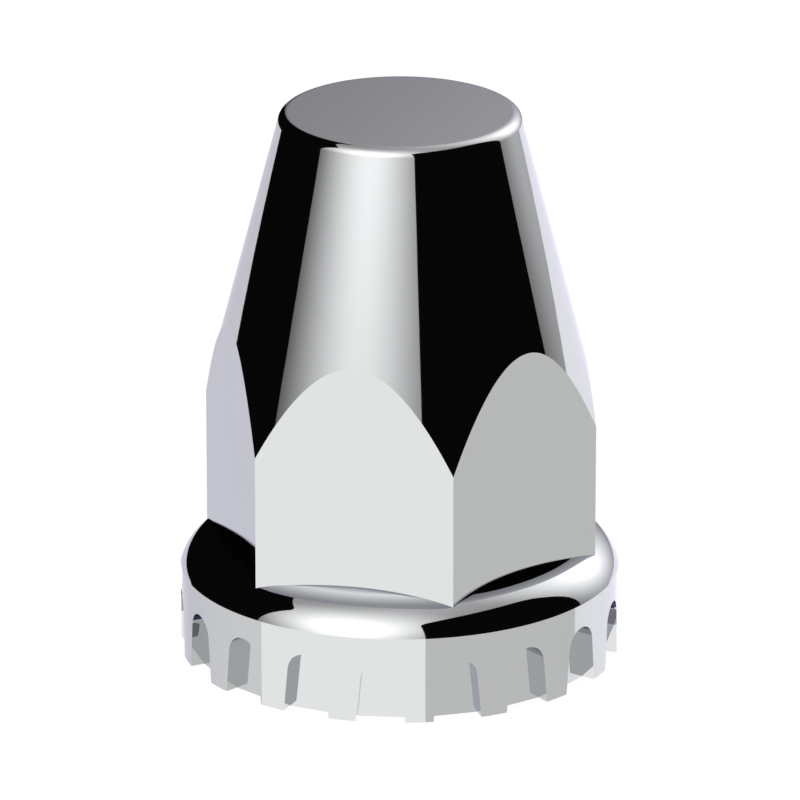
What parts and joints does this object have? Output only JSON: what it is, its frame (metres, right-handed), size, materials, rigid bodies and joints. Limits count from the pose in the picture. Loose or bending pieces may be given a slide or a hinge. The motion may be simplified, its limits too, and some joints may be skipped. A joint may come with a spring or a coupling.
{
  "type": "wheel nut cover cap",
  "caption": "Hollow push-on cap for a wheel nut, with a hexagonal body under a conical closed end, a domed flange and a notched skirt.",
  "frame": {"origin": "on the cap's axis, in the plane of the rim that faces the wheel", "axes": "+Z along the cap's axis towards its closed end; +X through a corner of the hexagon"},
  "size_m": [0.055, 0.055, 0.07],
  "materials": {
    "plated_moulding": "bright chrome plating on moulded ABS"
  },
  "bodies": {
    "root": {"nut_cover_cap": "plated_moulding"}
  },
  "joints": []
}
